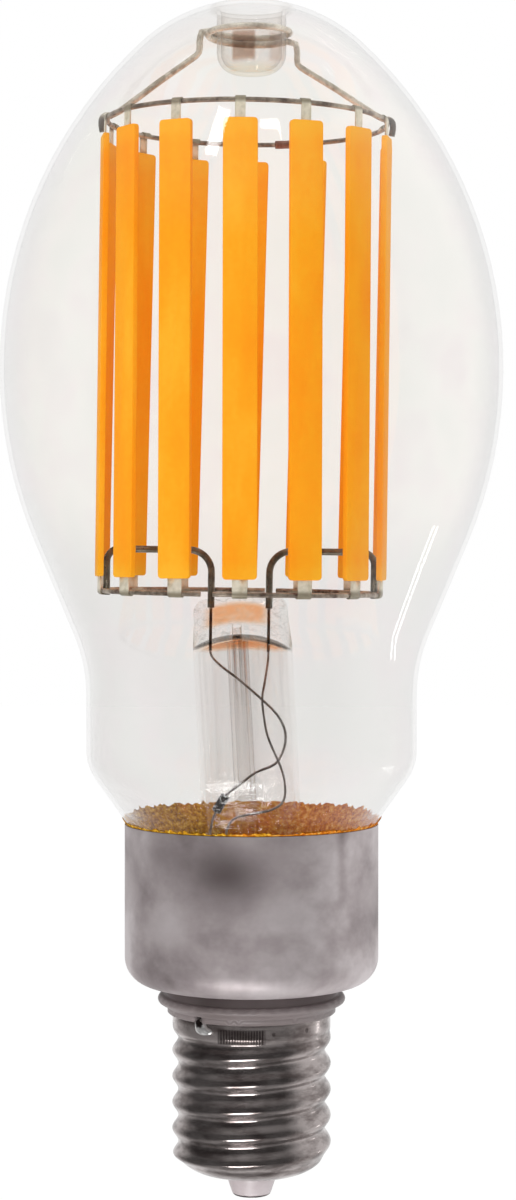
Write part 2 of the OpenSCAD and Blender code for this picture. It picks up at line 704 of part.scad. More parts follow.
// Drum core between two flanges, with its winding. Places on the board are shares of its radius.
function on_board(place) = [place[0] * board_r, place[1] * board_r, board_top_z];
choke_place = [0.556, 0.296];
choke_flange_t = 1.5;
choke_step = 0.6;
module choke() {
    color([0.3, 0.2, 0.15])
    translate(on_board(choke_place)) {
        cylinder(d = choke_d, h = choke_flange_t);
        cylinder(d = choke_d - 2 * choke_step, h = choke_h);
        translate([0, 0, choke_h - choke_flange_t]) cylinder(d = choke_d, h = choke_flange_t);
    }
}

// Places on the board and sizes of the other components
film_cap_place = [0.481, -0.444];
film_cap_size = [13, 6, 9];
rectifier_place = [-0.556, 0.481];
rectifier_size = [8.5, 6.5, 3];
chip_place = [-0.037, 0.63];
chip_size = [5, 4, 1.6];
fuse_place = [-0.222, -0.63];

// A moulded component body with chamfered upper edges, standing on the board
module chip(place, size, chamfer) {
    translate(on_board(place)) rotate([90, 0, 0])
    linear_extrude(size[1], center = true)
    polygon([
        [-size[0] / 2, 0], [size[0] / 2, 0], [size[0] / 2, size[2] - chamfer],
        [size[0] / 2 - chamfer, size[2]], [chamfer - size[0] / 2, size[2]],
        [-size[0] / 2, size[2] - chamfer]]);
}
module input_capacitor() {
    color([0.75, 0.55, 0.15]) chip(film_cap_place, film_cap_size, 0.6);
}
module bridge_rectifier() {
    color([0.1, 0.1, 0.1]) chip(rectifier_place, rectifier_size, 0.4);
}
module driver_chip() {
    color([0.08, 0.08, 0.08]) chip(chip_place, chip_size, 0.3);
}
fuse_d = 4;
fuse_l = 10;
fuse_wire_d = 0.8;
fuse_reach = 2;
module fuse_resistor() {
    color([0.5, 0.6, 0.55])
    translate(on_board(fuse_place)) {
        translate([-fuse_l / 2, 0, fuse_d / 2]) rotate([0, 90, 0]) cylinder(d = fuse_d, h = fuse_l);
        for (side = [-1, 1]) {
            translate([side * (fuse_l / 2 + fuse_reach), 0, 0])
                cylinder(d = fuse_wire_d, h = (fuse_d + fuse_wire_d) / 2);
            translate([side > 0 ? fuse_l / 2 : -fuse_l / 2 - fuse_reach, 0, fuse_d / 2])
                rotate([0, 90, 0]) cylinder(d = fuse_wire_d, h = fuse_reach);
        }
    }
}

// Moulded insulator: spigot in the shell, ribbed neck, and a riser through the can's floor
spigot_taper_h = 2.3;
spigot_shoulder = 2.8;
foot_h = 1.3;
module base_insulator() {
    foot_z = shell_rim_z - spigot_l;
    skirt_z = shell_rim_z - skirt_h + spigot_shoulder;
    color([0.6, 0.57, 0.57])
    difference() {
        rotate_extrude()
        polygon(concat(
            [[insulator_bore_d / 2, foot_z], [root_inner_r, foot_z],
             [root_inner_r, skirt_z - spigot_taper_h], [skirt_inner_r, skirt_z],
             [skirt_inner_r, shell_rim_z], [insulator_d / 2 - 2 * foot_step, shell_rim_z],
             [insulator_d / 2 - foot_step, shell_rim_z + foot_step],
             [insulator_d / 2 - foot_step, shell_rim_z + foot_h],
             [insulator_d / 2, shell_rim_z + foot_h + foot_step]],
            arc([(rib_d - rib_t) / 2, shell_rim_z + rib_z], rib_t / 2, -90, 90, 8),
            [[insulator_d / 2, shell_rim_z + rib_z + rib_t / 2], [insulator_d / 2, can_floor_z],
             [riser_d / 2, can_floor_z], [riser_d / 2, board_z], [insulator_bore_d / 2, board_z]]));
        rotate([0, 0, slot_angle]) translate([0, -slot_w / 2, shell_rim_z])
            translate([insulator_bore_d / 2 - past, 0, 0])
            cube([(insulator_d - insulator_bore_d) / 2 + 2 * past, slot_w, slot_h]);
    }
}

// Rolled screw shell. Its outer face is one function of height and direction, and the inner face
// lies one sheet thickness inside it, so that the thread shows on both sides as in real sheet metal.

function thread_wave(z, a) = cos(360 * (z - mouth_z - first_crest) / thread_pitch - a);
skirt_foot_z = shell_rim_z - skirt_h;
// Heights over which the thread fades into the skirt above and the dome below
fade_up_h = 2.5;
fade_down_h = 2.3;
function threaded_r(z, a) = (crest_d + root_d) / 4 + (crest_d - root_d) / 4 * thread_wave(z, a);
function shell_r(z, a) =
    mix(mix(threaded_r(z, a), skirt_d / 2, ramp(z, skirt_foot_z, skirt_foot_z + fade_up_h)),
        dome_d / 2, ramp(z, dome_top_z + fade_down_h, dome_top_z));
shell_rows = ceil(shell_l / thread_pitch * rows_per_pitch);
function wall_row(k, inset) = let (z = shell_rim_z - shell_l * k / shell_rows)
    [for (j = [0:shell_faces - 1]) let (a = 360 * j / shell_faces, r = shell_r(z, a) - inset)
        [r * cos(a), r * sin(a), z]];
// The domed bottom runs in to the mouth that holds the plug, steep at first and then nearly flat
dome_lean = 25;
dome_reach = 0.98;
dome_drop = 1 - sqrt(1 - pow(dome_reach, 2));
function dome_row(k, inset) =
    let (t = k / dome_rows, lean = mix(dome_lean, 90, t),
         r = mix(dome_d / 2, mouth_r, t),
         z = mouth_z + dome_h * (1 - sqrt(1 - pow(dome_reach * (1 - t), 2))) / dome_drop)
    [for (j = [0:shell_faces - 1]) let (a = 360 * j / shell_faces, q = k < dome_rows ? 1 : 0)
        [(r - q * inset * cos(lean)) * cos(a), (r - q * inset * cos(lean)) * sin(a),
         z + inset * sin(lean)]];
module screw_shell() {
    outer = concat([for (k = [0:shell_rows]) wall_row(k, 0)], [for (k = [1:dome_rows]) dome_row(k, 0)]);
    inner = concat([for (k = [0:shell_rows]) wall_row(k, shell_t)],
        [for (k = [1:dome_rows]) dome_row(k, shell_t)]);
    rows = concat(outer, reversed(inner));
    n = shell_faces;
    points = [for (row = rows, p = row) p];
    faces = [for (i = [0:len(rows) - 1], j = [0:n - 1])
        let (top = i * n, low = ((i + 1) % len(rows)) * n, next = (j + 1) % n)
        for (f = [[top + j, top + next, low + next], [top + j, low + next, low + j]]) f];
    color([0.75, 0.72, 0.7]) polyhedron(points = points, faces = faces, convexity = 12);
}

// Tapered plug in the mouth of the shell, with a flange inside
plug_bore_d = shank_d + 2 * fit;
plug_neck_h = 0.75;
module contact_plug() {
    seat_z = mouth_z + shell_t + plug_neck_h;
    color([0.68, 0.64, 0.64])
    rotate_extrude()
    polygon([
        [plug_bore_d / 2, contact_t], [plug_tip_d / 2, contact_t], [plug_root_d / 2, mouth_z],
        [plug_root_d / 2, seat_z], [plug_flange_d / 2, seat_z],
        [plug_flange_d / 2, seat_z + plug_flange_t], [plug_bore_d / 2, seat_z + plug_flange_t]]);
}

// Contact disc with a slightly crowned face and a rivet shank
contact_edge = 0.3;
module centre_contact() {
    color([0.35, 0.32, 0.32])
    rotate_extrude()
    polygon([
        [0, 0], [contact_d / 4, 0], [contact_d / 2 - contact_edge, contact_t / 3],
        [contact_d / 2, contact_t * 2 / 3], [contact_d / 2, contact_t],
        [shank_d / 2, contact_t], [shank_d / 2, contact_t + shank_l], [0, contact_t + shank_l]]);
}

// Supply wires from the board to the two contacts

supply_wire_d = 0.8;
line_pad = [11.5, 4];
// Bends of the line wire, with their heights above the shell's mouth
line_bends = [[11.5, 4, 50], [11.2, 4, 35], [8, 3, 20], [3, 1, 11], [0, 0, 5]];
module line_wire() {
    path = smooth(concat(
        [[line_pad[0], line_pad[1], board_z - fit]],
        [for (p = line_bends) p + [0, 0, mouth_z]],
        [[0, 0, contact_t + shank_l + fit]]), 2);
    color([0.7, 0.2, 0.15]) round_wire(path, supply_wire_d);
}

wire_out_r = skirt_d / 2 + supply_wire_d / 2 + 3 * fit;
wire_out_z = shell_rim_z + slot_h / 2;
// It runs down inside the insulator's bore, out through the slot and down on the shell's skirt
wire_in_r = insulator_bore_d / 2 - 1;
wire_bend_in = [1.6, 0.7];
wire_bend_out = [1.2, 0.9];
wire_rise = 3;
wire_tail = 2.4;
function on_slot(r, z) = [r * cos(slot_angle), r * sin(slot_angle), z];
neutral_path = [
    on_slot(wire_in_r, board_z - fit),
    on_slot(wire_in_r, board_z - 2 * wire_rise),
    on_slot(wire_in_r, wire_out_z + wire_rise),
    on_slot(wire_in_r + wire_bend_in[0] / 4, wire_out_z + wire_bend_in[1]),
    on_slot(wire_in_r + wire_bend_in[0], wire_out_z),
    on_slot(wire_out_r - wire_bend_out[0], wire_out_z),
    on_slot(wire_out_r, wire_out_z - wire_bend_out[1]),
    on_slot(wire_out_r, wire_out_z - wire_tail)];
module neutral_wire() {
    color([0.75, 0.73, 0.7])
    round_wire(smooth(neutral_path, 2), supply_wire_d, wire_sides, on_slot(1, 0));
}

// Lump of solder that joins the neutral wire to the shell: places round the skirt, heights and radii
solder_lumps = [[-2.2, -1.6, 1.1], [0.5, -2, 1], [1.2, -3.2, 1.3], [4.6, -3.1, 0.9]];
module side_solder() {
    color([0.85, 0.84, 0.82])
    difference() {
        intersection() {
            hull() for (s = solder_lumps)
                rotate([0, 0, slot_angle + s[0] / (skirt_d / 2) * 180 / PI])
                translate([skirt_d / 2, 0, shell_rim_z + s[1]]) sphere(r = s[2], $fn = 16);
            cylinder(d = 2 * skirt_d, h = shell_rim_z - fit);
        }
        cylinder(d = skirt_d + 2 * fit, h = shell_rim_z + past);
        round_wire(smooth(neutral_path, 2), supply_wire_d + 2 * fit, wire_sides, on_slot(1, 0));
    }
}

glass_envelope();
stem();
exhaust_tube();
lead(-1);  // lead_left
lead(1);  // lead_right
seal_wire(-1);  // seal_wire_left
seal_wire(1);  // seal_wire_right
inner_wire_left();
inner_wire_right();
wire_sleeve();
lower_ring_left();
lower_ring_right();
upper_ring();
ring_joint_sleeve();
top_support_wire();
for (i = [1:filament_n]) filament(i);
lower_tabs();
upper_tabs();
bulb_cement();
driver_can();
circuit_board();
smoothing_capacitor();
choke();
input_capacitor();
bridge_rectifier();
driver_chip();
fuse_resistor();
base_insulator();
screw_shell();
contact_plug();
centre_contact();
side_solder();
line_wire();
neutral_wire();
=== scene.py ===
import json
import math

import bpy
from mathutils import Matrix, Vector

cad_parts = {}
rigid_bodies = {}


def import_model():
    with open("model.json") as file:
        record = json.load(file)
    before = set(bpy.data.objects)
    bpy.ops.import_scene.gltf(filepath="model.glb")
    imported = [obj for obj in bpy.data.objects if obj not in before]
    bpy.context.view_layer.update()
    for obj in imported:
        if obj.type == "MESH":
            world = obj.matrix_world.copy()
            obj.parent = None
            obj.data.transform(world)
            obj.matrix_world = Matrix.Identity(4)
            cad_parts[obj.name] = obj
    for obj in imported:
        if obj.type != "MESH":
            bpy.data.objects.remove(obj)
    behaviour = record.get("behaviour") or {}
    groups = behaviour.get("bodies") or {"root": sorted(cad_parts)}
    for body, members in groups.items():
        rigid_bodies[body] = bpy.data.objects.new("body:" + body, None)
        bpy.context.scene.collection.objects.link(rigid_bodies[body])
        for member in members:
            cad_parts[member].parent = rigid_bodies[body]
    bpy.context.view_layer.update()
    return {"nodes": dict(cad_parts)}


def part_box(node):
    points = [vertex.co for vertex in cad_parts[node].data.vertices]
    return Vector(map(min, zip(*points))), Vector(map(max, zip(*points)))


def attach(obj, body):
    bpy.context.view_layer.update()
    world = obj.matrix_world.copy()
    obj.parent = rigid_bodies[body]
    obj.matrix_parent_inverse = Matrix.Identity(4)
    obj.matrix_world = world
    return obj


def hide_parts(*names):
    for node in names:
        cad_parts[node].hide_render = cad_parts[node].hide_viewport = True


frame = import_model()
nodes = frame["nodes"]

MM = 0.001

# Camera: the photograph's frame, level, at the height of the lower third of the glass
CAMERA_DISTANCE = 634 * MM
CAMERA_HEIGHT = 158.5 * MM
CAMERA_LENS = 77.7
CAMERA_SHIFT = (0.0054, -0.0442)

# Studio: the height of the floor, and the plain level of the light that comes from all sides
FLOOR_Z = -0.25
FILL_LEVEL = 1.0

# Heights of the object's main places, from the solids
CONTACT_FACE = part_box("centre_contact")[0].z
SHELL_FOOT, SHELL_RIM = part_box("screw_shell")[0].z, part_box("screw_shell")[1].z
CAN_FLOOR, CAN_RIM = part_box("driver_can")[0].z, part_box("driver_can")[1].z
CAN_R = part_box("driver_can")[1].x
SKIRT_R = 19.4 * MM
# Marks on the shell's plain band: place across, height and radius
PUNCH_MARKS = ((-4.7 * MM, SHELL_RIM - 2.9 * MM, 0.5 * MM), (5.3 * MM, SHELL_RIM - 2.3 * MM, 0.7 * MM),
               (13.2 * MM, SHELL_RIM - 2.1 * MM, 0.8 * MM))
# Smudges on the can's front: place across, depth below the rim, reach, shade and strength
CAN_SMUDGES = ((-6 * MM, 9 * MM, 15 * MM, 0.24, 0.95), (-21 * MM, 6 * MM, 7 * MM, 0.36, 0.6),
               (7 * MM, 17 * MM, 7 * MM, 0.68, 0.6), (-20 * MM, 22 * MM, 8 * MM, 0.74, 0.75),
               (-30 * MM, 14 * MM, 9 * MM, 0.7, 0.7), (8 * MM, 5 * MM, 6 * MM, 0.6, 0.5),
               (29 * MM, 16 * MM, 8 * MM, 0.62, 0.6))
STRIP_FOOT, STRIP_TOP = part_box("filament_01")[0].z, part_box("filament_01")[1].z
RING_LOW, RING_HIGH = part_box("lower_tabs")[0].z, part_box("upper_tabs")[1].z
PRESS_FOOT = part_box("lead_left")[0].z
SOLDER_TURN = math.radians(36)
SOLDER_PLACE = (-SKIRT_R * math.sin(SOLDER_TURN), -SKIRT_R * math.cos(SOLDER_TURN), SHELL_RIM - 1.4 * MM)
STEM_AXIS_TOP = 2.5 * MM
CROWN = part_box("glass_envelope")[1].z
GLASS_SLOPE = 0.713  # How far the glass spreads out for each step up, from the can's rim to the waist
STRIP_T, STRIP_W = 1.4 * MM, 8.1 * MM
FILAMENTS = sorted(name for name in nodes if name.startswith("filament_"))


# Modelling helpers

def deselect_all():
    bpy.ops.object.select_all(action="DESELECT")


def take(obj):
    """Makes obj the only selected and the active object."""
    deselect_all()
    obj.select_set(True)
    bpy.context.view_layer.objects.active = obj
    return obj


def edit_all(obj):
    """Edit mode on obj with everything in it selected."""
    take(obj)
    bpy.ops.object.mode_set(mode="EDIT")
    bpy.ops.mesh.select_all(action="SELECT")


def end_edit():
    bpy.ops.object.mode_set(mode="OBJECT")


def select_verts(obj, test):
    """In edit mode, selects the vertices whose place passes the test."""
    bpy.ops.mesh.select_all(action="DESELECT")
    end_edit()
    for v in obj.data.vertices:
        v.select = test(v.co)
    bpy.ops.object.mode_set(mode="EDIT")


def apply(obj, kind, **settings):
    """Adds a modifier and applies it."""
    take(obj)
    modifier = obj.modifiers.new(kind.title(), kind)
    for key, value in settings.items():
        setattr(modifier, key, value)
    bpy.ops.object.modifier_apply(modifier=modifier.name)


def smooth(obj, degrees):
    take(obj)
    bpy.ops.object.shade_smooth_by_angle(angle=math.radians(degrees))


def copy_of(node, name, degrees=30, merge=0.002 * MM):
    """A merged copy of a CAD node's mesh, shaded smooth, as a new piece."""
    obj = bpy.data.objects.new(name, nodes[node].data.copy())
    bpy.context.scene.collection.objects.link(obj)
    obj.data.materials.clear()
    edit_all(obj)
    bpy.ops.mesh.remove_doubles(threshold=merge)
    end_edit()
    smooth(obj, degrees)
    return obj


def turned_again(node, name, steps, degrees=30):
    """A turned CAD node with more steps round: its section at +X, spun about the lamp's axis."""
    obj = copy_of(node, name)
    edit_all(obj)
    bpy.ops.mesh.bisect(plane_co=(0, 0, 0), plane_no=(0, 1, 0), clear_inner=True, clear_outer=True)
    select_verts(obj, lambda p: p.x < -0.01 * MM)
    bpy.ops.mesh.delete(type="VERT")
    bpy.ops.mesh.select_all(action="SELECT")
    bpy.ops.mesh.remove_doubles(threshold=0.01 * MM)
    bpy.ops.mesh.spin(steps=steps, angle=math.tau, center=(0, 0, 0), axis=(0, 0, 1))
    bpy.ops.mesh.select_all(action="SELECT")
    bpy.ops.mesh.remove_doubles(threshold=0.01 * MM)
    bpy.ops.mesh.normals_make_consistent(inside=False)
    end_edit()
    smooth(obj, degrees)
    return obj


def finish_piece(obj, material, replaced):
    """Gives a new piece its material and its body, and hides the node that it stands for."""
    obj.data.materials.clear()
    obj.data.materials.append(material)
    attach(obj, "root")
    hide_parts(replaced)
    return obj


def dress(node, material):
    """Gives a CAD node that stays as it is its material."""
    mesh = nodes[node].data
    mesh.materials.clear()
    mesh.materials.append(material)


# Material helpers

def srgb(r, g, b):
    """A colour as read from a picture, 0 to 255, as the shader wants it."""
    def channel(c):
        c = c / 255
        return c / 12.92 if c <= 0.04045 else ((c + 0.055) / 1.055) ** 2.4
    return (channel(r), channel(g), channel(b), 1)


class Nodes:
    """The node tree of a material or a world, with short calls for the nodes that this lamp needs."""

    def __init__(self, name, world=False):
        owners = bpy.data.worlds if world else bpy.data.materials
        self.material = owners.new(name)
        self.material.use_nodes = True
        self.tree = self.material.node_tree
        self.tree.nodes.clear()
        self.out = self.add("ShaderNodeOutputWorld" if world else "ShaderNodeOutputMaterial")

    def add(self, kind, settings=None, **inputs):
        made = self.tree.nodes.new(kind)
        for key, value in (settings or {}).items():
            setattr(made, key, value)
        for key, value in inputs.items():
            self.put(made, key.replace("_", " "), value)
        return made

    def put(self, made, key, value):
        socket = made.inputs[int(key)] if key.isdigit() else made.inputs[key]
        if isinstance(value, bpy.types.NodeSocket):
            self.tree.links.new(value, socket)
        else:
            socket.default_value = value

    def place(self, scale=(1, 1, 1), turn=(0, 0, 0), move=(0, 0, 0)):
        """Object coordinates, mapped."""
        coordinates = self.add("ShaderNodeTexCoord")
        mapping = self.add("ShaderNodeMapping", Vector=coordinates.outputs["Object"])
        mapping.inputs["Scale"].default_value = scale
        mapping.inputs["Rotation"].default_value = turn
        mapping.inputs["Location"].default_value = move
        return mapping.outputs["Vector"]

    def noise(self, vector, scale, detail=3, roughness=0.5, distortion=0):
        made = self.add("ShaderNodeTexNoise", Vector=vector, Scale=scale, Detail=detail,
                        Roughness=roughness, Distortion=distortion)
        return made.outputs["Fac"]

    def math(self, operation, a, b=0.0, c=0.0, clamp=False):
        made = self.add("ShaderNodeMath", {"operation": operation, "use_clamp": clamp})
        for index, value in enumerate((a, b, c)):
            self.put(made, str(index), value)
        return made.outputs[0]

    def vector(self, operation, a, b=(0, 0, 0)):
        made = self.add("ShaderNodeVectorMath", {"operation": operation})
        self.put(made, "0", a)
        self.put(made, "1", b)
        return made.outputs[1 if operation in ("DOT_PRODUCT", "LENGTH") else 0]

    def steps(self, value, low, high, to_low=0.0, to_high=1.0):
        """A soft step of value from low to high."""
        made = self.add("ShaderNodeMapRange", {"interpolation_type": "SMOOTHSTEP"}, Value=value)
        made.inputs["From Min"].default_value = low
        made.inputs["From Max"].default_value = high
        made.inputs["To Min"].default_value = to_low
        made.inputs["To Max"].default_value = to_high
        return made.outputs["Result"]

    def ramp(self, value, *stops):
        """A colour ramp through (place, colour) stops."""
        made = self.add("ShaderNodeValToRGB", Fac=value)
        ramp = made.color_ramp
        while len(ramp.elements) < len(stops):
            ramp.elements.new(0.5)
        for element, (place, colour) in zip(ramp.elements, stops):
            element.position = place
            element.color = colour
        return made.outputs["Color"]

    def mix(self, factor, a, b, blend="MIX"):
        made = self.add("ShaderNodeMix", {"data_type": "RGBA", "blend_type": blend})
        for key, value in (("Factor", factor), ("A", a), ("B", b)):
            socket = [s for s in made.inputs if s.name == key and s.enabled][0]
            if isinstance(value, bpy.types.NodeSocket):
                self.tree.links.new(value, socket)
            else:
                socket.default_value = value
        return [s for s in made.outputs if s.enabled][0]

    def bump(self, height, strength, distance):
        return self.add("ShaderNodeBump", Height=height, Strength=strength,
                        Distance=distance).outputs["Normal"]

    def xyz(self, vector):
        return self.add("ShaderNodeSeparateXYZ", Vector=vector).outputs

    def principled(self, **inputs):
        made = self.add("ShaderNodeBsdfPrincipled", **inputs)
        self.tree.links.new(made.outputs[0], self.out.inputs["Surface"])
        return made

    def surface(self, shader):
        self.tree.links.new(shader, self.out.inputs["Surface"])


# Finishes

def band(n, value, low, high, edge):
    """1 where value lies between low and high, with soft edges."""
    return n.math("MULTIPLY", n.steps(value, low - edge, low + edge), n.steps(value, high + edge, high - edge))


def thin_glass(n, clear_colour, edge_shine=0.8, wrinkles=None):
    """A glass wall seen without bending: clear, and more of a mirror towards the edges."""
    facing = n.add("ShaderNodeLayerWeight", Blend=0.5).outputs["Facing"]
    clear = n.add("ShaderNodeBsdfTransparent", Color=clear_colour)
    polish = n.add("ShaderNodeBsdfGlossy", Roughness=0.02)
    polish.inputs["Color"].default_value = (1, 1, 1, 1)
    if wrinkles:
        n.put(polish, "Normal", wrinkles)
    mirror = n.math("MULTIPLY_ADD", n.math("POWER", facing, 5.0), edge_shine, 0.035)
    return n.add("ShaderNodeMixShader", **{"0": mirror, "1": clear.outputs[0], "2": polish.outputs[0]}).outputs[0]


def envelope_glass():
    """Blown clear glass with faint uneven streaks, greyer towards its edges and where the dimple is drawn in, with
    a painted warm glow of the strips around the cage and painted brown and yellow reflections in the dimple.
    """
    n = Nodes("envelope_glass")
    place = n.place()
    x, y, z = (n.xyz(place)[key] for key in "XYZ")
    facing = n.add("ShaderNodeLayerWeight", Blend=0.5).outputs["Facing"]
    streaks = n.noise(n.place(scale=(14, 14, 3)), 3, detail=2)
    edge = n.math("MULTIPLY_ADD", streaks, 0.16, n.math("ADD", facing, -0.08))
    body = n.ramp(edge, (0.0, (0.974, 0.969, 0.964, 1)), (0.5, (0.966, 0.96, 0.956, 1)),
                  (0.85, (0.95, 0.946, 0.943, 1)), (1.0, (0.9, 0.898, 0.895, 1)))
    drawn = n.ramp(facing, (0.0, (0.985, 0.98, 0.975, 1)), (0.45, (0.97, 0.96, 0.95, 1)),
                   (0.75, (0.86, 0.84, 0.82, 1)), (1.0, (0.6, 0.57, 0.55, 1)))
    radius = n.vector("LENGTH", n.vector("MULTIPLY", place, (1, 1, 0)))
    in_dimple = n.math("MULTIPLY", n.steps(radius, 11 * MM, 9.5 * MM), n.steps(z, CROWN - 22 * MM, CROWN - 18 * MM))
    # Painted glow: the strips' warm light on the glass around the cage, strongest where the wall is seen face-on.
    painted_strip_glow = band(n, z, STRIP_FOOT + 8 * MM, CROWN - 6 * MM, 14 * MM)
    body = n.mix(n.math("MULTIPLY", painted_strip_glow, n.steps(facing, 0.8, 0.5, 0.0, 0.9)), body, (0.999, 0.992, 0.98, 1))
    mottle = n.noise(n.place(), 55, detail=3)
    body = n.mix(n.steps(mottle, 0.42, 0.62, 0.0, 0.15), body, (0.94, 0.958, 0.94, 1))
    body = n.mix(n.steps(mottle, 0.5, 0.34, 0.0, 0.3), body, (0.972, 0.944, 0.95, 1))
    tint = n.mix(in_dimple, body, drawn)
    # Painted reflection: a faint yellow band low in the dimple's cup.
    cup_reflection = n.math("MULTIPLY", in_dimple, band(n, z, CROWN - 18.5 * MM, CROWN - 15 * MM, 1 * MM))
    tint = n.mix(n.math("MULTIPLY", cup_reflection, 0.6), tint, (0.985, 0.965, 0.87, 1))
    # Painted reflection: brown patches on the front of the dimple's wall, broken up by a fine noise.
    reflection_breakup = n.noise(n.place(scale=(1, 1, 0.7)), 420, detail=3)
    left = band(n, x, -4.6 * MM, 0.8 * MM, 0.5 * MM)
    right = band(n, x, 4.4 * MM, 8.8 * MM, 0.8 * MM)
    painted_dimple_reflection = n.math("MULTIPLY", n.math("ADD", left, n.math("MULTIPLY", right, 0.45)),
                   n.math("MULTIPLY", band(n, z, CROWN - 14 * MM, CROWN - 7.2 * MM, 0.8 * MM),
                          n.steps(y, 0.0, -4 * MM)), clamp=True)
    painted_dimple_reflection = n.math("MULTIPLY", painted_dimple_reflection, n.math("MULTIPLY", in_dimple, n.steps(reflection_breakup, 0.2, 0.5, 0.6, 1.0)))
    tint = n.mix(painted_dimple_reflection, tint, (0.74, 0.63, 0.56, 1))
    low = n.steps(z, CAN_RIM + 42 * MM, CAN_RIM + 20 * MM, 0.02, 1.0)
    ripples = n.noise(n.place(scale=(1, 1, 1.8)), 170, detail=4, roughness=0.6, distortion=0.8)
    n.surface(thin_glass(n, tint, wrinkles=n.bump(n.math("MULTIPLY", ripples, low), 0.35, 1.6 * MM)))
    return n.material


def stem_glass():
    """Lead glass: a clear tube below the thick press, where painted orange reflections of the strips lie on the
    seal above and below a painted dark line.
    """
    n = Nodes("stem_glass")
    x, z = (n.xyz(n.place())[key] for key in "XZ")
    facing = n.add("ShaderNodeLayerWeight", Blend=0.5).outputs["Facing"]
    tone = n.ramp(n.noise(n.place(scale=(1, 1, 0.05)), 260, detail=2),
                  (0.3, (0.996, 0.992, 0.989, 1)), (0.58, (0.97, 0.963, 0.96, 1)), (0.7, (0.92, 0.91, 0.905, 1)))
    from_axis = n.math("ADD", x, STEM_AXIS_TOP)
    bow = n.math("MULTIPLY_ADD", n.math("MULTIPLY", from_axis, from_axis), 22.0, z)
    clouds = n.noise(n.place(scale=(1, 1, 1.6)), 240, detail=4, distortion=0.6)
    wall = n.ramp(facing, (0.0, (0.99, 0.985, 0.98, 1)), (0.55, (0.95, 0.94, 0.93, 1)),
                  (0.85, (0.7, 0.67, 0.62, 1)), (1.0, (0.45, 0.42, 0.38, 1)))
    swirl = band(n, clouds, 0.47, 0.5, 0.012)
    wall = n.mix(n.math("MULTIPLY", swirl, 0.3), wall, (0.6, 0.57, 0.54, 1))
    # Painted reflection of the strips: orange bands on the seal, one above and one below the dark line.
    painted_seal_reflection = n.math("MULTIPLY", band(n, x, -STEM_AXIS_TOP - 8.2 * MM, -STEM_AXIS_TOP + 6 * MM, 2 * MM),
                   band(n, bow, PRESS_FOOT - 3.4 * MM, PRESS_FOOT + 1.2 * MM, 0.9 * MM))
    painted_seal_reflection = n.math("MULTIPLY", painted_seal_reflection, n.steps(clouds, 0.3, 0.6, 0.55, 1.0))
    painted_reflection_below = n.math("MULTIPLY", band(n, bow, PRESS_FOOT - 9.6 * MM, PRESS_FOOT - 7.6 * MM, 0.7 * MM),
                   n.steps(clouds, 0.35, 0.55, 0.4, 0.8))
    colour = n.mix(n.math("MAXIMUM", painted_seal_reflection, painted_reflection_below), wall, (0.97, 0.7, 0.5, 1))
    # Painted shade: a dark curved line across the press, standing in for the bending of light at its edge.
    painted_dark_line = band(n, bow, PRESS_FOOT - 7.5 * MM, PRESS_FOOT - 6.8 * MM, 0.2 * MM)
    colour = n.mix(n.math("MULTIPLY", painted_dark_line, n.steps(clouds, 0.3, 0.5, 0.6, 0.95)), colour, (0.3, 0.28, 0.26, 1))
    height = n.steps(z, PRESS_FOOT - 11 * MM, PRESS_FOOT - 9 * MM)
    n.surface(thin_glass(n, n.mix(height, tone, colour), 0.3))
    return n.material


def exhaust_glass():
    """The thin exhaust tube, seen only by its edges."""
    n = Nodes("exhaust_glass")
    facing = n.add("ShaderNodeLayerWeight", Blend=0.5).outputs["Facing"]
    n.surface(thin_glass(n, n.ramp(facing, (0.0, (0.985, 0.98, 0.977, 1)), (0.6, (0.96, 0.955, 0.95, 1)),
                                   (1.0, (0.72, 0.7, 0.69, 1))), 0.3))
    return n.material


def phosphor():
    """The soft orange coat of the strips, mottled and a little deeper in places, paler towards the foot and with a
    painted reflection towards the top.
    """
    n = Nodes("phosphor")
    long_patches = n.noise(n.place(scale=(60, 60, 18)), 1, detail=4, roughness=0.6)
    grain = n.noise(n.place(), 900, detail=2)
    z = n.xyz(n.place())["Z"]
    # Paler towards both ends: near the top this is a painted reflection of a light in the glass, near the foot it
    # is only paler.
    ends = n.math("ADD", n.steps(z, STRIP_TOP - 6 * MM, STRIP_TOP - 1 * MM, 0.0, 0.12),
                  n.steps(z, STRIP_FOOT + 5 * MM, STRIP_FOOT + 1 * MM, 0.0, 0.1))
    tone = n.math("ADD", ends, n.math("MULTIPLY_ADD", long_patches, 0.85, n.math("MULTIPLY", grain, 0.15)))
    colour = n.ramp(tone, (0.3, srgb(255, 150, 10)), (0.5, srgb(255, 168, 22)), (0.7, srgb(255, 186, 44)))
    n.principled(Base_Color=colour, Roughness=0.6, Specular_IOR_Level=0.12, Normal=n.bump(grain, 0.12, 0.1 * MM))
    return n.material


def drawn_wire(name, dark, light, roughness=0.38, metallic=0.6, burnt=None):
    """Drawn and annealed wire with uneven tarnish along it, burnt dark below a height where it is welded."""
    n = Nodes(name)
    tarnish = n.noise(n.place(scale=(1, 1, 1)), 320, detail=4, roughness=0.65)
    colour = n.ramp(tarnish, (0.35, dark), (0.62, light))
    rough = n.steps(tarnish, 0.3, 0.7, roughness + 0.12, roughness - 0.06)
    if burnt:
        colour = n.mix(n.steps(n.xyz(n.place())["Z"], burnt + 1 * MM, burnt - 1 * MM, 0.0, 0.85), colour,
                       srgb(66, 54, 48))
    n.principled(Base_Color=colour, Metallic=metallic, Roughness=rough,
                 Normal=n.bump(tarnish, 0.15, 0.05 * MM))
    return n.material


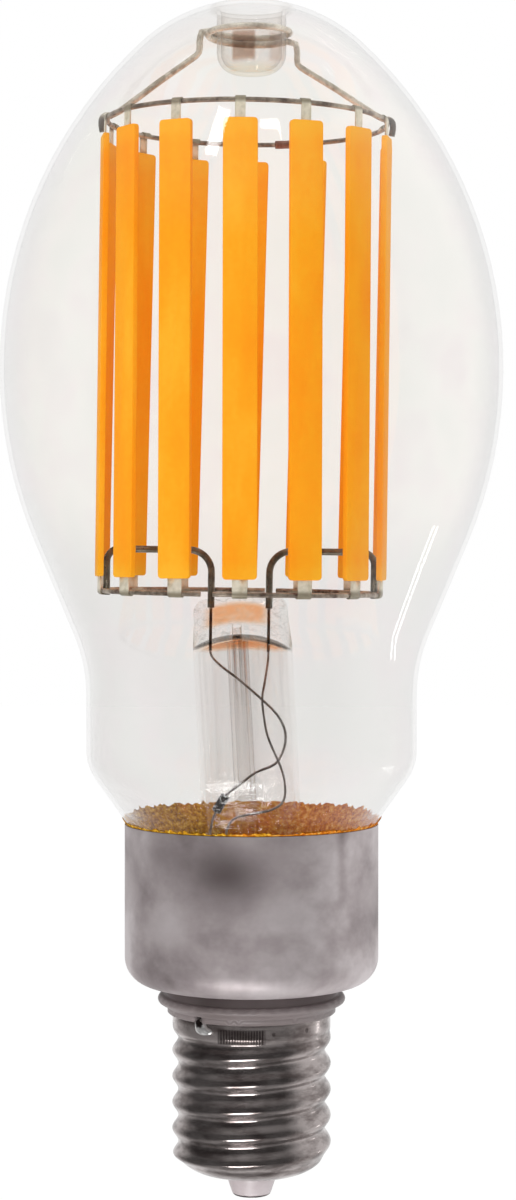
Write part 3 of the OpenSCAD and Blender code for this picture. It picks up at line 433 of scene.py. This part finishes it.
def tab_metal():
    """Pale satin tabs, stained where they are folded round the ring."""
    n = Nodes("tab_metal")
    z = n.xyz(n.place())["Z"]
    blotch = n.noise(n.place(), 700, detail=3)
    colour = n.ramp(blotch, (0.3, srgb(206, 200, 178)), (0.6, srgb(236, 230, 212)))
    low = n.steps(z, RING_LOW + 1.4 * MM, RING_LOW + 2.6 * MM)
    high = n.steps(z, RING_HIGH - 1.4 * MM, RING_HIGH - 2.4 * MM)
    near_ring = n.math("MULTIPLY", low, high)
    colour = n.mix(near_ring, srgb(150, 142, 122), colour)
    n.principled(Base_Color=colour, Metallic=0.2, Roughness=0.42, Normal=n.bump(blotch, 0.2, 0.05 * MM))
    return n.material


def cement():
    """Baked brown cement: olive on one side and orange on the other, coarse and crumbly."""
    n = Nodes("cement")
    place = n.place()
    across = n.xyz(place)["X"]
    crumbs = n.noise(place, 900, detail=5, roughness=0.7)
    patches = n.noise(place, 130, detail=3)
    left = n.ramp(crumbs, (0.36, srgb(132, 88, 2)), (0.5, srgb(196, 138, 8)), (0.66, srgb(246, 208, 76)))
    right = n.ramp(crumbs, (0.36, srgb(180, 88, 2)), (0.5, srgb(226, 132, 12)), (0.66, srgb(252, 200, 104)))
    side = n.steps(n.math("ADD", across, n.math("MULTIPLY", n.math("SUBTRACT", patches, 0.5), 60 * MM)),
                   -14 * MM, 10 * MM)
    n.principled(Base_Color=n.mix(side, left, right), Roughness=0.85, Specular_IOR_Level=0.2,
                 Normal=n.bump(crumbs, 0.9, 0.5 * MM))
    return n.material


def can_metal():
    """Dull grey drawn metal, clouded by handling: smoky above and at one side, paler below."""
    n = Nodes("can_metal")
    place = n.place()
    x, y, z = (n.xyz(place)[key] for key in "XYZ")
    clouds = n.noise(n.place(scale=(1, 1, 1.25), move=(0.1, 0, 0)), 34, detail=5, roughness=0.58)
    grain = n.noise(n.place(), 2600, detail=2)
    rise = n.steps(z, CAN_FLOOR + 4 * MM, CAN_RIM - 8 * MM, 0.1, -0.02)
    tone = n.math("ADD", n.math("MULTIPLY_ADD", n.math("SUBTRACT", clouds, 0.5), 1.3, 0.53), rise)
    for across, below, reach, shade, share in CAN_SMUDGES:
        centre = (across, -math.sqrt(CAN_R ** 2 - across ** 2), CAN_RIM - below)
        away = n.vector("MULTIPLY", n.vector("SUBTRACT", place, centre), (0.75, 0.5, 1))
        near = n.steps(n.vector("LENGTH", away), reach, 0.0, 0.0, share)
        tone = n.math("MULTIPLY_ADD", near, n.math("SUBTRACT", shade, tone), tone)
    streak = n.math("MULTIPLY", band(n, x, 20.6 * MM, 22.2 * MM, 1.3 * MM), n.steps(z, CAN_RIM - 20 * MM, CAN_RIM - 9 * MM))
    tone = n.math("ADD", tone, n.math("MULTIPLY", streak, n.steps(y, 0.0, -4 * MM, 0.0, -0.22)))
    colour = n.ramp(tone, (0.25, srgb(98, 88, 88)), (0.42, srgb(142, 132, 133)),
                    (0.58, srgb(172, 162, 163)), (0.75, srgb(200, 192, 193)))
    rough = n.steps(clouds, 0.35, 0.65, 0.56, 0.48)
    n.principled(Base_Color=colour, Metallic=0.5, Roughness=rough, Normal=n.bump(grain, 0.08, 0.1 * MM))
    return n.material


def moulded_plastic():
    """Grey moulded plastic with a fine satin grain."""
    n = Nodes("moulded_plastic")
    soft = n.noise(n.place(), 60, detail=3)
    grain = n.noise(n.place(), 1800, detail=2)
    colour = n.ramp(soft, (0.35, srgb(106, 96, 95)), (0.65, srgb(124, 114, 114)))
    n.principled(Base_Color=colour, Roughness=0.45, Normal=n.bump(grain, 0.12, 0.05 * MM))
    return n.material


def plug_plastic():
    """The paler insulating plug at the tip."""
    n = Nodes("plug_plastic")
    soft = n.noise(n.place(), 160, detail=3)
    colour = n.ramp(soft, (0.35, srgb(164, 153, 154)), (0.65, srgb(184, 174, 176)))
    n.principled(Base_Color=colour, Roughness=0.38, Normal=n.bump(soft, 0.1, 0.2 * MM))
    return n.material


def nickel():
    """Nickel-plated shell, smeared by handling and streaked dark and light with painted reflection, with a ribbed
    patch and punch marks on its plain band.
    """
    n = Nodes("nickel")
    place = n.place()
    x, y, z = (n.xyz(place)[key] for key in "XYZ")
    # Random smears in the colour, whose dark and light streaks are partly painted reflection; the same noise sets
    # roughness and bumps.
    smears_and_reflections = n.noise(n.place(scale=(1, 1, 3)), 110, detail=5, roughness=0.62)
    colour = n.ramp(smears_and_reflections, (0.38, srgb(112, 102, 100)), (0.58, srgb(172, 163, 161)))
    rough = n.steps(smears_and_reflections, 0.3, 0.7, 0.24, 0.14)
    front = n.steps(y, 0.0, -2 * MM)
    patch = n.math("MULTIPLY", front, n.math("MULTIPLY", band(n, z, SHELL_RIM - 4.9 * MM, SHELL_RIM - 1.2 * MM, 0.3 * MM),
                                             band(n, x, -8 * MM, 3.2 * MM, 0.5 * MM)))
    ribs = n.math("PINGPONG", n.math("DIVIDE", x, 0.33 * MM), 1.0)
    brushed = n.noise(n.place(scale=(1, 1, 0.12)), 2600, detail=2)
    height = n.math("MULTIPLY_ADD", smears_and_reflections, 0.6, n.math("MULTIPLY", brushed, 0.2))
    for px, pz, r in PUNCH_MARKS:
        centre = (px, -math.sqrt(SKIRT_R ** 2 - px ** 2), pz)
        away = n.vector("LENGTH", n.vector("SUBTRACT", place, centre))
        dent = n.steps(away, r, 0.4 * r)
        height = n.math("SUBTRACT", height, n.math("MULTIPLY", dent, 1.5))
        colour = n.mix(n.math("MULTIPLY", dent, 0.6), colour, srgb(60, 50, 48))
    height = n.math("ADD", height, n.math("MULTIPLY", patch, n.math("MULTIPLY", ribs, 0.25)))
    worn = n.math("MULTIPLY", patch, n.steps(ribs, 0.2, 0.9, 0.95, 0.5))
    colour = n.mix(worn, colour, srgb(52, 42, 40))
    handled = n.steps(z, SHELL_RIM - 6.2 * MM, SHELL_RIM - 5 * MM, 0.93, 0.74)
    n.principled(Base_Color=colour, Metallic=handled, Roughness=rough, Normal=n.bump(height, 0.25, 0.3 * MM))
    return n.material


def contact_metal():
    """Dark, worn contact face."""
    n = Nodes("contact_metal")
    wear = n.noise(n.place(), 800, detail=4)
    colour = n.ramp(wear, (0.35, srgb(70, 62, 62)), (0.65, srgb(130, 120, 118)))
    n.principled(Base_Color=colour, Metallic=0.9, Roughness=0.4, Normal=n.bump(wear, 0.2, 0.05 * MM))
    return n.material


def solder():
    """Bright solder, burnt black along its upper right side."""
    n = Nodes("solder")
    lumps = n.noise(n.place(), 900, detail=3)
    colour = n.ramp(lumps, (0.35, srgb(196, 194, 192)), (0.65, srgb(240, 239, 238)))
    away = n.vector("SUBTRACT", n.place(), (SOLDER_PLACE[0] - 1 * MM, SOLDER_PLACE[1], SOLDER_PLACE[2] + 1.6 * MM))
    burnt = n.steps(n.math("MULTIPLY_ADD", lumps, 1.2 * MM, n.vector("LENGTH", away)), 2.1 * MM, 1.6 * MM)
    colour = n.mix(burnt, colour, srgb(44, 36, 34))
    n.principled(Base_Color=colour, Metallic=0.75, Roughness=0.25, Normal=n.bump(lumps, 0.35, 0.2 * MM))
    return n.material


def coat(name, dark, light, roughness, scale=500):
    """A component's own colour with a light mottle, for what is inside the lamp."""
    n = Nodes(name)
    mottle = n.noise(n.place(), scale, detail=3)
    colour = n.ramp(mottle, (0.35, dark), (0.65, light))
    n.principled(Base_Color=colour, Roughness=roughness, Normal=n.bump(mottle, 0.15, 0.1 * MM))
    return n.material


# The lamp's pieces

def dress_all():
    glass = stem_glass()
    wire = drawn_wire("cage_wire", srgb(108, 92, 82), srgb(192, 180, 164))
    support = drawn_wire("support_wire", srgb(170, 160, 144), srgb(240, 234, 220), 0.3, 0.35, RING_HIGH)
    lead = drawn_wire("lead_wire", srgb(84, 78, 66), srgb(140, 132, 116), 0.32)
    fine = drawn_wire("fine_wire", srgb(110, 104, 100), srgb(172, 166, 162), 0.35)
    seal = drawn_wire("seal_wire", srgb(70, 56, 46), srgb(112, 88, 72))
    joint = drawn_wire("joint_metal", srgb(118, 72, 56), srgb(176, 128, 108), 0.3)
    plastic = moulded_plastic()
    coating = phosphor()
    tabs = tab_metal()

    finish_piece(turned_again("glass_envelope", "glass", 160), envelope_glass(), "glass_envelope")
    finish_piece(copy_of("stem", "glass_stem", 35), glass, "stem")
    finish_piece(copy_of("exhaust_tube", "exhaust", 35), exhaust_glass(), "exhaust_tube")
    for side in ("left", "right"):
        finish_piece(copy_of(f"lead_{side}", f"{side}_lead", 45), lead, f"lead_{side}")
        finish_piece(thickened(f"inner_wire_{side}", f"{side}_inner_wire", 0.07 * MM), fine,
                     f"inner_wire_{side}")
        dress(f"seal_wire_{side}", seal)
        finish_piece(copy_of(f"lower_ring_{side}", f"{side}_lower_ring", 45), wire,
                     f"lower_ring_{side}")
    finish_piece(copy_of("upper_ring", "top_ring", 45), wire, "upper_ring")
    finish_piece(copy_of("ring_joint_sleeve", "joint_sleeve", 45), joint, "ring_joint_sleeve")
    finish_piece(copy_of("top_support_wire", "support_wire", 60), support, "top_support_wire")
    finish_piece(thickened("wire_sleeve", "black_tube", 0.4 * MM), coat("black_sleeve", srgb(20, 18, 20), srgb(46, 42, 44), 0.55),
                 "wire_sleeve")
    strips(coating)
    finish_piece(copy_of("lower_tabs", "tabs_below", 40), tabs, "lower_tabs")
    finish_piece(copy_of("upper_tabs", "tabs_above", 40), tabs, "upper_tabs")

    finish_piece(cement_ring(), cement(), "bulb_cement")
    finish_piece(turned_again("driver_can", "metal_can", 160), can_metal(), "driver_can")
    finish_piece(copy_of("base_insulator", "insulator", 35), plastic, "base_insulator")
    finish_piece(screw_shell(), nickel(), "screw_shell")
    finish_piece(turned_again("contact_plug", "tip_plug", 96), plug_plastic(), "contact_plug")
    finish_piece(turned_again("centre_contact", "tip_contact", 96), contact_metal(),
                 "centre_contact")
    finish_piece(solder_lump(), solder(), "side_solder")
    finish_piece(copy_of("neutral_wire", "supply_wire", 75), fine, "neutral_wire")
    dress("line_wire", coat("wire_cover", srgb(150, 30, 22), srgb(178, 48, 36), 0.45))
    dress("circuit_board", coat("board", srgb(20, 72, 44), srgb(34, 96, 60), 0.4))
    dress("smoothing_capacitor", coat("capacitor_sleeve", srgb(24, 24, 34), srgb(48, 48, 62), 0.35))
    dress("choke", coat("ferrite", srgb(44, 36, 32), srgb(84, 58, 40), 0.55))
    dress("input_capacitor", coat("film_capacitor", srgb(166, 122, 26), srgb(192, 148, 44), 0.4))
    dress("bridge_rectifier", coat("rectifier_case", srgb(26, 26, 27), srgb(44, 44, 46), 0.5))
    dress("driver_chip", coat("chip_case", srgb(22, 22, 23), srgb(40, 40, 42), 0.5))
    dress("fuse_resistor", coat("resistor_coat", srgb(92, 132, 112), srgb(126, 166, 142), 0.4))


def thickened(node, name, more):
    """A wire or a sleeve as a piece, a little thicker all round than its solid."""
    obj = copy_of(node, name, 75)
    edit_all(obj)
    bpy.ops.transform.shrink_fatten(value=more)
    end_edit()
    return obj


def cement_ring():
    """The cement, which climbs up the glass above the can's rim and ends in a ragged, crumbly edge."""
    obj = turned_again("bulb_cement", "cement_ring", 240)
    climb = 2.4 * MM
    rim_r = CAN_R - 0.6 * MM

    def slide(share):
        """Moves what is selected along the glass's slope by a share of the climb."""
        out = 1 + share * climb * GLASS_SLOPE / rim_r
        bpy.ops.transform.resize(value=(out, out, 1), center_override=(0, 0, 0))
        bpy.ops.transform.translate(value=(0, 0, share * climb))

    edit_all(obj)
    bpy.ops.mesh.select_mode(type="FACE")
    bpy.ops.mesh.select_all(action="DESELECT")
    end_edit()
    for face in obj.data.polygons:
        face.select = face.normal.z > 0.9 and face.center.z > CAN_RIM - 0.1 * MM
    bpy.ops.object.mode_set(mode="EDIT")
    bpy.ops.mesh.extrude_region()
    bpy.ops.transform.resize(value=(1.008, 1.008, 1), center_override=(0, 0, 0))
    bpy.ops.transform.translate(value=(0, 0, 0.1 * MM))
    bpy.ops.mesh.extrude_region()
    slide(0.5)
    bpy.ops.mesh.extrude_region()
    slide(0.5)
    bpy.ops.mesh.select_mode(type="VERT")
    for behind, share in ((12, -0.3), (-4, -0.35)):
        select_verts(obj, lambda p: p.z > CAN_RIM + 0.2 * climb and p.y < behind * MM)
        slide(share * 0.6)
        select_verts(obj, lambda p: p.z > CAN_RIM + 0.45 * climb and p.y < behind * MM)
        slide(share * 0.4)
    for seed, share in ((3, -0.12), (5, -0.15), (8, 0.1), (13, -0.18)):
        select_verts(obj, lambda p: p.z > CAN_RIM + (0.6 if p.y > 12 * MM else 0.25) * climb)
        bpy.ops.mesh.select_random(ratio=0.35, seed=seed, action="DESELECT")
        slide(share)
    bpy.ops.mesh.select_all(action="SELECT")
    bpy.ops.mesh.normals_make_consistent(inside=False)
    end_edit()
    smooth(obj, 30)
    return obj


def solder_lump():
    """The lump of solder, set in an uneven blob on the shell's rim."""
    deselect_all()
    bpy.ops.mesh.primitive_ico_sphere_add(subdivisions=3, radius=1, location=(0, 0, 0))
    obj = bpy.context.object
    obj.name = "solder_lump"
    edit_all(obj)
    bpy.ops.transform.resize(value=(2.5 * MM, 1.1 * MM, 1.7 * MM))
    select_verts(obj, lambda p: p.x < -0.6 * MM and p.z > 0)
    bpy.ops.transform.translate(value=(-0.1 * MM, 0, 0.7 * MM))
    select_verts(obj, lambda p: p.x > 0.8 * MM)
    bpy.ops.transform.resize(value=(1.15, 0.8, 0.6))
    bpy.ops.transform.translate(value=(0, 0, -0.6 * MM))
    bpy.ops.mesh.select_all(action="SELECT")
    bpy.ops.transform.vertex_random(offset=0.12 * MM, seed=4)
    bpy.ops.transform.rotate(value=SOLDER_TURN, orient_axis="Z", center_override=(0, 0, 0))
    bpy.ops.transform.translate(value=SOLDER_PLACE)
    end_edit()
    apply(obj, "SUBSURF", levels=2, render_levels=2)
    smooth(obj, 60)
    return obj


def screw_shell():
    """The rolled shell with its facets rounded off."""
    obj = copy_of("screw_shell", "threaded_shell")
    edit_all(obj)
    bpy.ops.mesh.tris_convert_to_quads(face_threshold=math.radians(60), shape_threshold=math.radians(60))
    end_edit()
    apply(obj, "SUBSURF", levels=2, render_levels=2)
    smooth(obj, 60)
    return obj


def strip_frame(node):
    """Where a strip stands: its middle, its length, and its directions through, across and along."""
    points = [v.co for v in nodes[node].data.vertices]
    low, high = min(p.z for p in points), max(p.z for p in points)
    foot = sum((p for p in points if p.z < low + 1 * MM), Vector())
    foot /= sum(1 for p in points if p.z < low + 1 * MM)
    head = sum((p for p in points if p.z > high - 1 * MM), Vector())
    head /= sum(1 for p in points if p.z > high - 1 * MM)
    along = (head - foot).normalized()
    across = max(((p - head) for p in points if p.z > high - 1 * MM), key=lambda d: d.length)
    across = (across - across.dot(along) * along).normalized()
    return (foot + head) / 2, (head - foot).length, along, across


def strip_shape():
    """One coated strip, lying in the YZ plane round the origin, with rounded corners and soft edges."""
    deselect_all()
    bpy.ops.mesh.primitive_cube_add(size=1)
    obj = bpy.context.object
    edit_all(obj)
    bpy.ops.transform.resize(value=(STRIP_T, STRIP_W, STRIP_TOP - STRIP_FOOT))
    bpy.ops.mesh.select_mode(type="EDGE")
    bpy.ops.mesh.select_all(action="DESELECT")
    end_edit()
    for edge in obj.data.edges:
        a, b = (obj.data.vertices[i].co for i in edge.vertices)
        edge.select = abs(a.x - b.x) > 0.5 * STRIP_T
    bpy.ops.object.mode_set(mode="EDIT")
    bpy.ops.mesh.bevel(offset=0.9 * MM, segments=4, affect="EDGES")
    bpy.ops.mesh.select_all(action="SELECT")
    bpy.ops.mesh.bevel(offset=0.42 * MM, segments=3, affect="EDGES", clamp_overlap=True)
    bpy.ops.mesh.select_mode(type="VERT")
    end_edit()
    smooth(obj, 60)
    return obj


def strips(coating):
    """Copies of the strip, each set where its solid stands."""
    shape = strip_shape()
    for name in FILAMENTS:
        middle, length, along, across = strip_frame(name)
        obj = bpy.data.objects.new(name.replace("filament", "strip"), shape.data.copy())
        bpy.context.scene.collection.objects.link(obj)
        through = across.cross(along)
        turn = Matrix((through, across, along)).transposed().to_4x4()
        obj.matrix_world = Matrix.Translation(middle) @ turn
        take(obj)
        bpy.ops.object.transform_apply(location=True, rotation=True, scale=True)
        finish_piece(obj, coating, name)
    bpy.data.objects.remove(shape, do_unlink=True)


# Studio

def studio_level(n, direction):
    """What shine sees: white behind the lamp, dark all round the camera's side, half bright above and below."""
    direction = n.vector("NORMALIZE", direction)
    dark_side = n.vector("DOT_PRODUCT", direction, (-0.45, -0.89, 0))
    steep = n.math("ABSOLUTE", n.xyz(direction)["Z"])
    front = n.steps(dark_side, -0.6, 0.25, 0.95, 0.04)
    slanted = n.steps(steep, 0.45, 0.9, 0.0, 0.3)
    return n.math("MAXIMUM", front, slanted)


def seen_level(n, direction, plain):
    """White for the camera and for glass, the studio's level for shine, and plain for all other light."""
    rays = n.add("ShaderNodeLightPath").outputs
    white = n.math("MAXIMUM", rays["Is Camera Ray"], rays["Is Transmission Ray"])
    glossy = rays["Is Glossy Ray"]
    level = n.math("ADD", n.math("MULTIPLY", glossy, studio_level(n, direction)),
                   n.math("MULTIPLY", n.math("SUBTRACT", 1.0, glossy), plain))
    return n.math("MAXIMUM", level, white)


def backdrop():
    n = Nodes("studio", world=True)
    bpy.context.scene.world = n.material
    direction = n.add("ShaderNodeTexCoord").outputs["Generated"]
    light = n.add("ShaderNodeBackground", Color=(1, 1, 1, 1), Strength=seen_level(n, direction, FILL_LEVEL))
    n.surface(light.outputs[0])


def floor():
    """A white floor well below the lamp, which hangs as the photograph shows it."""
    deselect_all()
    bpy.ops.mesh.primitive_plane_add(size=12, location=(0, 0, FLOOR_Z))
    obj = bpy.context.object
    obj.name = "floor"
    n = Nodes("floor")
    matt = n.add("ShaderNodeBsdfDiffuse", Color=(0.9, 0.9, 0.9, 1))
    direction = n.vector("ADD", n.place(), (0, 0, FLOOR_Z))
    rays = n.add("ShaderNodeLightPath").outputs
    seen = n.math("MAXIMUM", rays["Is Camera Ray"], rays["Is Transmission Ray"])
    glow = n.add("ShaderNodeEmission", Strength=n.math("MULTIPLY", seen_level(n, direction, 1.0), 1.03))
    kept_shadow = n.math("MAXIMUM", n.math("MULTIPLY", seen, 0.85), rays["Is Glossy Ray"])
    n.surface(n.add("ShaderNodeMixShader",
                    **{"0": kept_shadow, "1": matt.outputs[0], "2": glow.outputs[0]}).outputs[0])
    obj.data.materials.append(n.material)


def lamp(name, place, size, radiance, shine=True):
    """A soft light that looks at the lamp's middle or base, as bright as its radiance."""
    data = bpy.data.lights.new(name, "AREA")
    data.shape = "RECTANGLE"
    data.size, data.size_y = size
    data.energy = radiance * math.pi * size[0] * size[1]
    obj = bpy.data.objects.new(name, data)
    bpy.context.scene.collection.objects.link(obj)
    obj.location = place
    target = Vector((0, 0, 0.03 if shine else 0.15))
    obj.rotation_euler = (target - Vector(place)).to_track_quat("-Z", "Y").to_euler()
    obj.visible_camera = False
    obj.visible_glossy = shine
    obj.visible_transmission = False


def lights():
    lamp("key", (-0.7, -0.8, 0.7), (0.8, 0.8), 1.2, shine=False)
    lamp("upper_softbox", (-0.15, -0.28, 0.79), (0.055, 0.16), 10)
    lamp("lower_softbox", (-0.05, -0.19, -0.19), (0.16, 0.07), 12)
    lamp("side_strip", (0.44, 0.17, -0.06), (0.012, 0.1), 8)


def camera():
    data = bpy.data.cameras.new("camera")
    data.lens = CAMERA_LENS
    data.sensor_width = 36
    data.shift_x, data.shift_y = CAMERA_SHIFT
    data.clip_start = 0.01
    obj = bpy.data.objects.new("camera", data)
    bpy.context.scene.collection.objects.link(obj)
    obj.location = (0, -CAMERA_DISTANCE, CAMERA_HEIGHT)
    obj.rotation_euler = (math.radians(90), 0, 0)
    bpy.context.scene.camera = obj


camera()
backdrop()
floor()
lights()
dress_all()
bpy.context.scene.view_settings.view_transform = "Standard"
bpy.context.scene.cycles.transparent_max_bounces = 32  # Glass inside glass inside glass
deselect_all()
